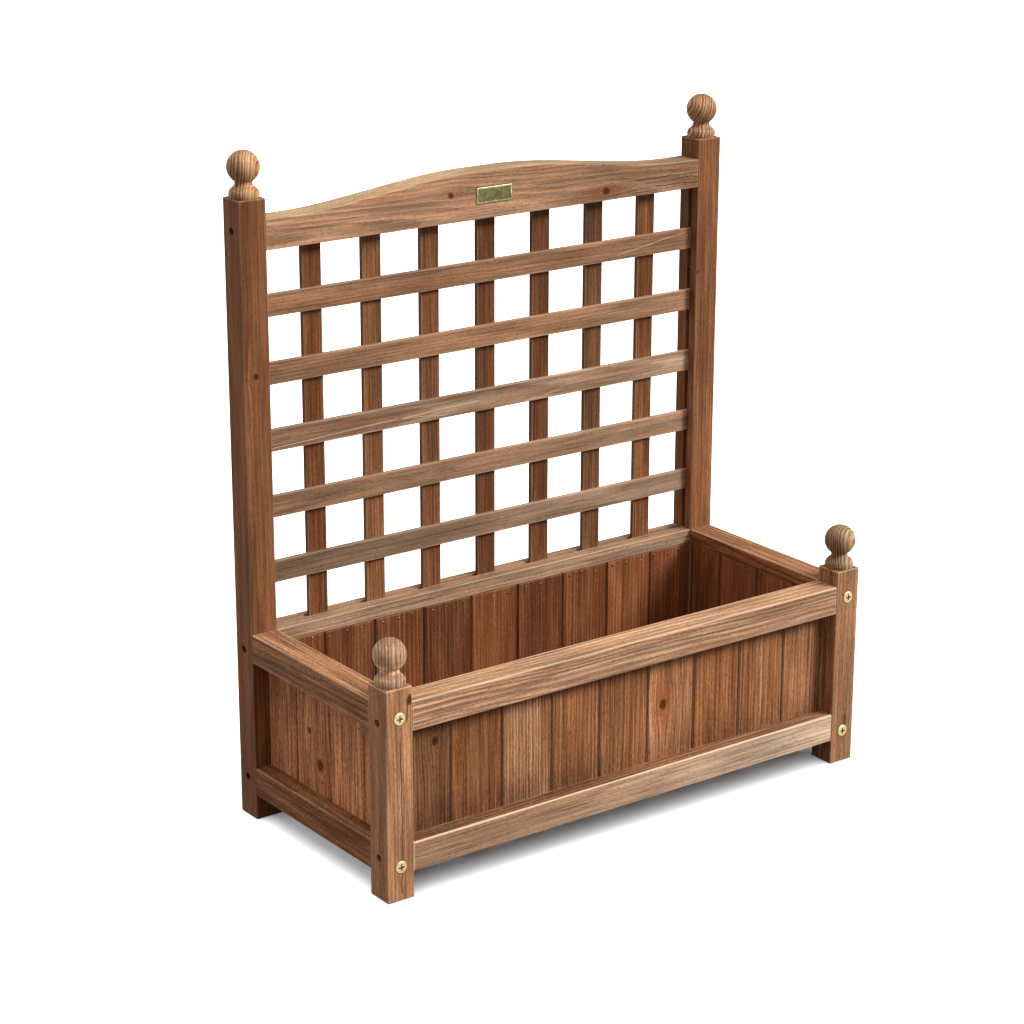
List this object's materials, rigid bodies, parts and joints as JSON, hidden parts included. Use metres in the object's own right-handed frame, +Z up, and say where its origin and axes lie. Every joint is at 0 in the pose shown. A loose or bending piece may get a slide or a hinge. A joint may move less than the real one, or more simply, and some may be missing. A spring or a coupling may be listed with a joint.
{
  "type": "planter with trellis",
  "caption": "Free-standing stained timber planter box on square posts with turned ball finials, boarded walls and an arched trellis of crossed slats at the back.",
  "frame": {"origin": "on the floor, under the middle of the planter", "axes": "+Z up, -Y towards the front, +X to the right seen from the front"},
  "size_m": [0.6374, 0.2884, 0.7245],
  "materials": {
    "frame_wood": "satin",
    "board_wood": "satin",
    "slat_wood": "satin",
    "turned_wood": "satin",
    "inner_wood": "matte",
    "bolt_metal": "satin",
    "screw_metal": "satin",
    "plate_metal": "satin"
  },
  "bodies": {
    "root": {"arched_top_rail": "frame_wood", "back_bottom_rail": "frame_wood", "back_left_finial": "turned_wood", "back_left_post": "frame_wood", "back_right_finial": "turned_wood", "back_right_post": "frame_wood", "back_top_rail": "frame_wood", "back_wall_board_1": "board_wood", "back_wall_board_2": "board_wood", "back_wall_board_3": "board_wood", "back_wall_board_4": "board_wood", "back_wall_board_5": "board_wood", "back_wall_board_6": "board_wood", "back_wall_board_7": "board_wood", "back_wall_board_8": "board_wood", "back_wall_board_9": "board_wood", "blank_plate": "plate_metal", "corner_bolts": "bolt_metal", "floor_bearers": "inner_wood", "floor_slats": "inner_wood", "front_bottom_rail": "frame_wood", "front_left_finial": "turned_wood", "front_left_post": "frame_wood", "front_right_finial": "turned_wood", "front_right_post": "frame_wood", "front_top_rail": "frame_wood", "front_wall_board_1": "board_wood", "front_wall_board_2": "board_wood", "front_wall_board_3": "board_wood", "front_wall_board_4": "board_wood", "front_wall_board_5": "board_wood", "front_wall_board_6": "board_wood", "front_wall_board_7": "board_wood", "front_wall_board_8": "board_wood", "front_wall_board_9": "board_wood", "left_bottom_rail": "frame_wood", "left_top_rail": "frame_wood", "left_wall_board_1": "board_wood", "left_wall_board_2": "board_wood", "left_wall_board_3": "board_wood", "left_wall_board_4": "board_wood", "right_bottom_rail": "frame_wood", "right_top_rail": "frame_wood", "right_wall_board_1": "board_wood", "right_wall_board_2": "board_wood", "right_wall_board_3": "board_wood", "right_wall_board_4": "board_wood", "sunk_screws": "screw_metal", "trellis_level_slat_1": "slat_wood", "trellis_level_slat_2": "slat_wood", "trellis_level_slat_3": "slat_wood", "trellis_level_slat_4": "slat_wood", "trellis_level_slat_5": "slat_wood", "trellis_upright_slat_1": "slat_wood", "trellis_upright_slat_2": "slat_wood", "trellis_upright_slat_3": "slat_wood", "trellis_upright_slat_4": "slat_wood", "trellis_upright_slat_5": "slat_wood", "trellis_upright_slat_6": "slat_wood", "trellis_upright_slat_7": "slat_wood"}
  },
  "joints": []
}
